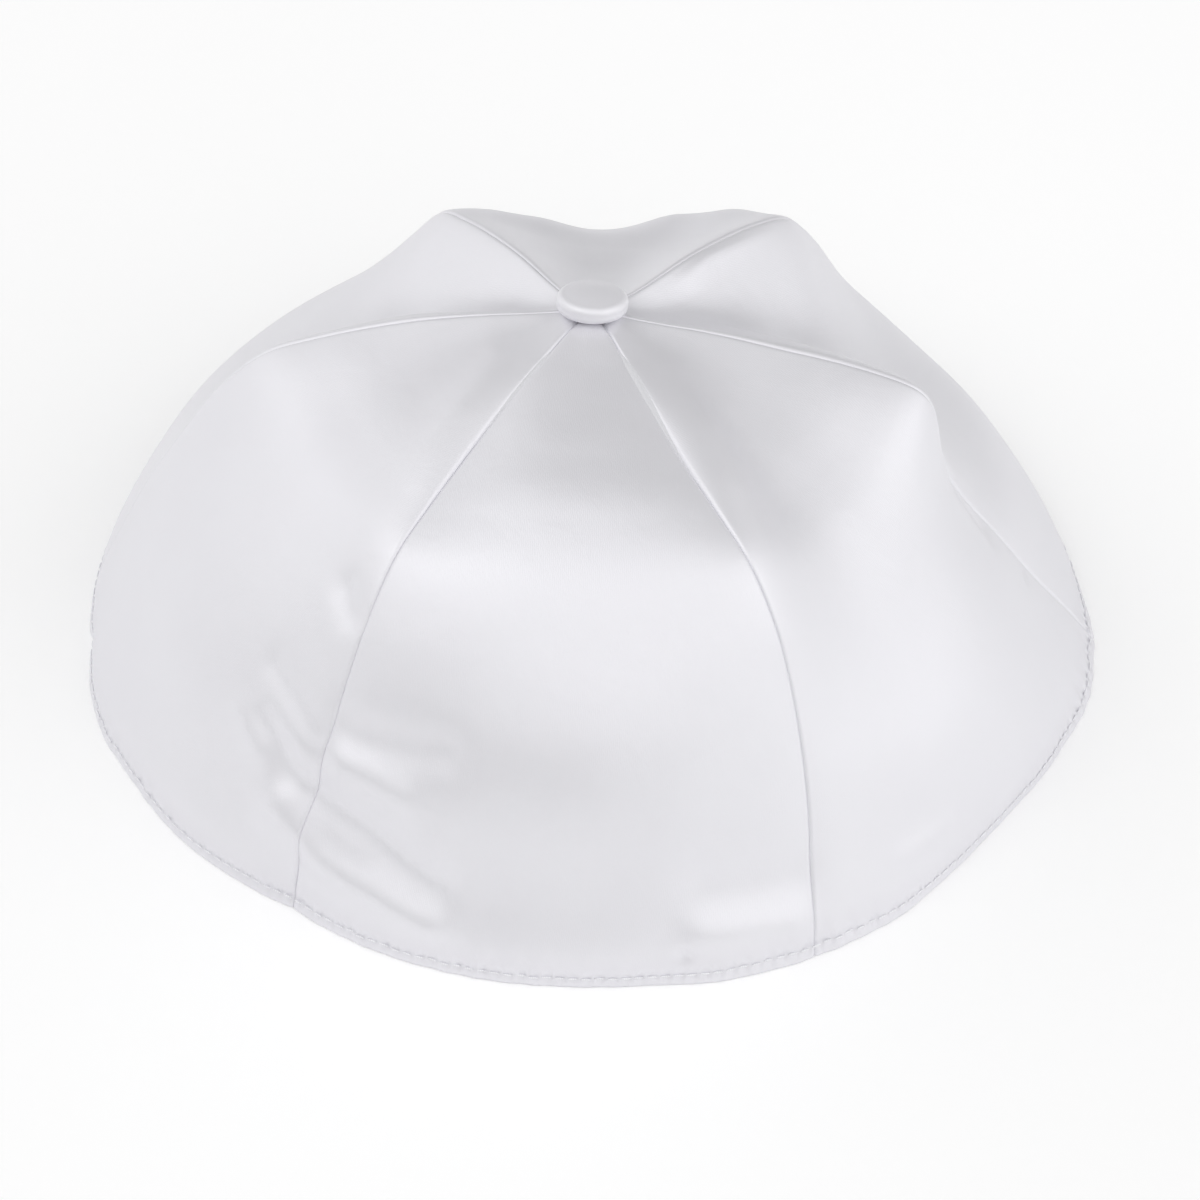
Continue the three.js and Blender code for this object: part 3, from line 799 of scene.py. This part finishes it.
def stitch_nodes():
    """Geometry nodes that lay a stitch at every pitch of a line, with its back to the cloth."""
    tree = bpy.data.node_groups.new("stitch_row", "GeometryNodeTree")
    interface = tree.interface
    interface.new_socket("Geometry", in_out="INPUT", socket_type="NodeSocketGeometry")
    for label in ("Pitch", "Length", "Radius"):
        interface.new_socket(label, in_out="INPUT", socket_type="NodeSocketFloat")
    interface.new_socket("Thread", in_out="INPUT", socket_type="NodeSocketMaterial")
    interface.new_socket("Geometry", in_out="OUTPUT", socket_type="NodeSocketGeometry")
    given = tree.nodes.new("NodeGroupInput").outputs
    result = tree.nodes.new("NodeGroupOutput").inputs
    line = node(tree, "GeometryNodeMeshToCurve", {0: given["Geometry"]})
    spaced = node(tree, "GeometryNodeResampleCurve", {
        "Curve": line.outputs[0], "Length": given["Pitch"],
    }, mode="LENGTH")
    tangent = node(tree, "GeometryNodeInputTangent")
    up = node(tree, "GeometryNodeInputNamedAttribute", {"Name": "outward"}, data_type="FLOAT_VECTOR")
    along = node(tree, "FunctionNodeAlignRotationToVector", {"Vector": tangent.outputs[0]}, axis="X")
    facing = node(tree, "FunctionNodeAlignRotationToVector", {
        "Rotation": along.outputs[0], "Vector": up.outputs[0],
    }, axis="Z", pivot_axis="X")
    half = node(tree, "ShaderNodeMath", {0: given["Length"], 1: 0.5}, operation="MULTIPLY")
    size = node(tree, "ShaderNodeCombineXYZ", {0: half.outputs[0], 1: given["Radius"], 2: given["Radius"]})
    ball = node(tree, "GeometryNodeMeshUVSphere", {"Segments": 10, "Rings": 8, "Radius": 1.0})
    stitch = node(tree, "GeometryNodeTransform", {"Geometry": ball.outputs[0], "Scale": size.outputs[0]})
    vary = node(tree, "FunctionNodeRandomValue", data_type="FLOAT_VECTOR")
    vary.inputs[0].default_value, vary.inputs[1].default_value = STITCH_SCALES
    vary.inputs["Seed"].default_value = STITCH_SEED
    laid = node(tree, "GeometryNodeInstanceOnPoints", {
        "Points": spaced.outputs[0], "Instance": stitch.outputs[0],
        "Rotation": facing.outputs[0], "Scale": vary.outputs[0],
    })
    real = node(tree, "GeometryNodeRealizeInstances", {0: laid.outputs[0]})
    finish = node(tree, "GeometryNodeSetMaterial", {
        "Geometry": real.outputs[0], "Material": given["Thread"],
    })
    smooth = node(tree, "GeometryNodeSetShadeSmooth", {0: finish.outputs[0]})
    tree.links.new(smooth.outputs[0], result[0])
    return tree


def make_stitches(thread):
    """The hem's stitch row on the face and on the reverse."""
    points, directions, edges = [], [], []
    for height_out in (STITCH_LIFT, -HEM_THICKNESS - STITCH_LIFT):
        line, out = stitch_line(height_out)
        first = sum(len(p) for p in points)
        numbers = first + np.arange(len(line))
        edges.append(np.stack([numbers, np.roll(numbers, -1)], axis=-1))
        points.append(line)
        directions.append(out if height_out > 0 else -out)
    points = np.concatenate(points)
    mesh = bpy.data.meshes.new("stitch_line")
    mesh.from_pydata(((points - RIM_MIDDLE) * MM).tolist(), np.concatenate(edges).tolist(), [])
    layer = mesh.attributes.new("outward", "FLOAT_VECTOR", "POINT")
    layer.data.foreach_set("vector", np.concatenate(directions).astype(np.float32).ravel())
    line = bpy.data.objects.new("stitch_line", mesh)
    bpy.context.scene.collection.objects.link(line)
    tree = stitch_nodes()
    modifier = line.modifiers.new("stitches", "NODES")
    modifier.node_group = tree
    values = {
        "Pitch": STITCH_PITCH * MM,
        "Length": STITCH_LENGTH * MM,
        "Radius": STITCH_RADIUS * MM,
        "Thread": thread,
    }
    for socket in tree.interface.items_tree:
        if socket.in_out == "INPUT" and socket.name in values:
            modifier[socket.identifier] = values[socket.name]
    bpy.context.view_layer.update()
    evaluated = line.evaluated_get(bpy.context.evaluated_depsgraph_get())
    made = bpy.data.meshes.new_from_object(evaluated)
    bpy.data.objects.remove(line)
    piece = bpy.data.objects.new("hem_stitches", made)
    bpy.context.scene.collection.objects.link(piece)
    return piece


def arc(x, z, radius, start, end, steps):
    angles = np.radians(np.linspace(start, end, steps + 1))
    return np.stack([x + radius * np.cos(angles), z + radius * np.sin(angles)], axis=-1)


def make_button(face):
    """The covered button: cloth drawn over a low dome and pleated underneath, on its shank."""
    radius = BUTTON_DIAMETER / 2
    edge = BUTTON_EDGE_RADIUS
    flat = radius - edge
    shank_end = -(BUTTON_SEAT_GAP + CLOTH + SHANK_BELOW_CLOTH)
    shank = SHANK_DIAMETER / 2
    dome_share = np.linspace(0, 1, DOME_STEPS + 1)[1:]
    dome = np.stack([
        flat * (1 - dome_share),
        BUTTON_THICKNESS + BUTTON_DOME * dome_share * (2 - dome_share),
    ], axis=-1)
    side = BUTTON_THICKNESS - 2 * edge
    waist = np.stack([radius - WAIST_DEPTH * np.ones(3), edge + side * np.array([0.3, 0.5, 0.7])], axis=-1)
    bevel = SHANK_EDGE_RADIUS
    profile = np.concatenate([
        [(0, shank_end)],
        [(shank * 0.5, shank_end)],
        arc(shank - bevel, shank_end + bevel, bevel, -90, 0, 4),
        [(shank, -bevel)],
        [(shank + 0.1, 0)],
        np.stack([np.linspace(shank + 0.5, flat - bevel, 6), np.zeros(6)], axis=-1),
        arc(flat, edge, edge, -90, 0, EDGE_STEPS),
        waist,
        arc(flat, BUTTON_THICKNESS - edge, edge, 0, 90, EDGE_STEPS),
        dome,
    ])
    segments = BUTTON_SEGMENTS
    angle = np.linspace(0, 2 * math.pi, segments, endpoint=False)
    rings = profile[1:-1]
    turn = angle[None, :]
    pleats = sum(
        share * np.sin(count * turn + wander * np.sin(PLEAT_WANDER * turn) + phase)
        for count, share, wander, phase in PLEATS
    )
    reach, height = rings[:, 0:1], rings[:, 1:2]
    under = 1 - smoothstep(*PLEAT_HEIGHTS, height)
    beyond = smoothstep(shank + PLEAT_START[0], shank + PLEAT_START[1], reach)
    push = PLEAT_DEPTH * pleats * under * beyond
    to_side = smoothstep(flat, radius, reach)
    around = reach + push * to_side
    up = height + push * (1 - to_side) + 0 * turn
    points = np.stack([around * np.cos(turn), around * np.sin(turn), up], axis=-1).reshape(-1, 3)
    points = np.concatenate([points, [(0, 0, profile[0, 1]), (0, 0, profile[-1, 1])]])
    count = len(rings)
    r, c = np.meshgrid(np.arange(count - 1), np.arange(segments), indexing="ij")
    c_next = (c + 1) % segments
    ring, ring_above = r * segments, (r + 1) * segments
    quads = np.stack([ring + c, ring + c_next, ring_above + c_next, ring_above + c], axis=-1).reshape(-1, 4)
    low, high = count * segments, count * segments + 1
    fan = np.arange(segments)
    fan_next = (fan + 1) % segments
    top = (count - 1) * segments
    lean = math.radians(BUTTON_LEAN)
    lean_azimuth = math.radians(BUTTON_LEAN_AZIMUTH)
    axis = Vector((-math.sin(lean_azimuth), math.cos(lean_azimuth), 0))
    tip = np.array(Matrix.Rotation(lean, 3, axis))
    flat_xy = points[:, :2]
    points = points @ tip.T + np.array([0, 0, CROWN_HEIGHT + BUTTON_SEAT_GAP])
    mesh = bpy.data.meshes.new("covered_button")
    faces = quads.tolist()
    faces += [(low, int(b), int(a)) for a, b in zip(fan, fan_next)]
    faces += [(high, int(top + a), int(top + b)) for a, b in zip(fan, fan_next)]
    mesh.from_pydata(((points - RIM_MIDDLE) * MM).tolist(), [], faces)
    mesh.materials.append(face)
    mesh.polygons.foreach_set("use_smooth", np.ones(len(faces), bool))
    mesh.set_sharp_from_angle(angle=math.radians(SHARP_ANGLE))
    piece = bpy.data.objects.new("covered_button", mesh)
    bpy.context.scene.collection.objects.link(piece)
    set_uv(mesh, flat_xy[:, 0] * MM, flat_xy[:, 1] * MM)
    set_values(mesh, "from_rim", np.full(len(points), FAR_FROM_RIM))
    return piece


# Pieces
SATIN_FACE = satin(
    "satin", colour=(0.83, 0.825, 0.86), shade=(0.79, 0.78, 0.82), roughness=0.48, sheen=0,
    thread=0.0003, weave_depth=0.000016, lustre=0.4,
)
SATIN_REVERSE = satin(
    "satin_reverse", colour=(0.76, 0.76, 0.785), shade=(0.70, 0.70, 0.73), roughness=0.62, sheen=0.1,
    thread=0.00026, weave_depth=0.00006, lustre=0,
)
BUTTON_SATIN = satin(
    "button_satin", colour=(0.84, 0.835, 0.87), shade=(0.81, 0.80, 0.84), roughness=0.46, sheen=0,
    thread=0.0003, weave_depth=0.000016, lustre=0.25,
)
THREAD = thread_material()

panels = [make_panel(index, SATIN_FACE, SATIN_REVERSE) for index in range(len(PANELS))]
button = make_button(BUTTON_SATIN)
stitches = make_stitches(THREAD)

for piece, (name, _, _) in zip(panels, PANELS):
    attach(piece, "root")
    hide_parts(f"panel_{name}")
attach(button, "root")
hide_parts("button")
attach(stitches, "root")

# Floor
FLOOR_SIZE = 6
FLOOR_GLOW = 0.08
bpy.ops.mesh.primitive_plane_add(size=FLOOR_SIZE, location=(0, 0, 0))
floor = bpy.context.object
floor.name = "floor"
floor_material, floor_tree, floor_surface = new_material("white_table")
grain = node(floor_tree, "ShaderNodeTexNoise", {"Scale": 40.0})
floor_base = mixed(floor_tree, grain.outputs[0], (0.97, 0.97, 0.97, 1), (0.96, 0.96, 0.96, 1))
floor_tree.links.new(floor_base, floor_surface.inputs["Base Color"])
floor_surface.inputs["Roughness"].default_value = 0.9
floor_surface.inputs["Emission Color"].default_value = (1, 1, 1, 1)
floor_surface.inputs["Emission Strength"].default_value = FLOOR_GLOW
floor.data.materials.append(floor_material)

# Soft studio light: an even glow, and wide lamps by azimuth, elevation, narrowness and strength
AMBIENT = 0.03
LOBES = [
    (210, 65, 8, 1.12),
    (135, 8, 6, 1.00),
    (180, 38, 6, 1.00),
    (45, 8, 6, 0.26),
    (315, 38, 6, 0.86),
    (0, 38, 6, 0.81),
    (0, 8, 6, 0.62),
    (270, 38, 6, 0.48),
    (270, 45, 40, 0.40),
    (90, 38, 6, 0.17),
    (225, 38, 6, 0.23),
    (315, 8, 6, 0.31),
]


def light_world(ambient, lobes):
    """A world that glows by the lamps' lobes."""
    world = bpy.data.worlds.new("studio")
    bpy.context.scene.world = world
    world.use_nodes = True
    tree = world.node_tree
    tree.nodes.clear()
    look = node(tree, "ShaderNodeTexCoord").outputs["Generated"]
    total = ambient
    for azimuth, elevation, power, strength in lobes:
        angle, rise = math.radians(azimuth), math.radians(elevation)
        towards = (math.cos(angle) * math.cos(rise), math.sin(angle) * math.cos(rise), math.sin(rise))
        facing = node(tree, "ShaderNodeVectorMath", {0: look, 1: towards}, operation="DOT_PRODUCT")
        lobe = math_node(tree, "POWER", math_node(tree, "MAXIMUM", facing.outputs["Value"], 0.0), power)
        total = math_node(tree, "MULTIPLY_ADD", lobe, strength, total)
    background = node(tree, "ShaderNodeBackground", {"Color": (1, 1, 1, 1), "Strength": total})
    output = tree.nodes.new("ShaderNodeOutputWorld")
    tree.links.new(background.outputs[0], output.inputs["Surface"])


light_world(AMBIENT, LOBES)

# Camera
camera_data = bpy.data.cameras.new("camera")
camera = bpy.data.objects.new("camera", camera_data)
bpy.context.scene.collection.objects.link(camera)
camera_data.sensor_width = SENSOR_WIDTH
camera_data.lens = LENS
camera_data.clip_start = 0.01
camera_data.clip_end = 20
target = Vector((np.array(CAMERA_TARGET) - RIM_MIDDLE) * MM)
rise = math.radians(CAMERA_ELEVATION)
back = Vector((0, -math.cos(rise), math.sin(rise)))
camera.location = target + back * CAMERA_DISTANCE * MM
camera.rotation_mode = "QUATERNION"
camera.rotation_quaternion = (-back).to_track_quat("-Z", "Y")
bpy.context.scene.camera = camera
bpy.context.scene.view_settings.view_transform = "Standard"
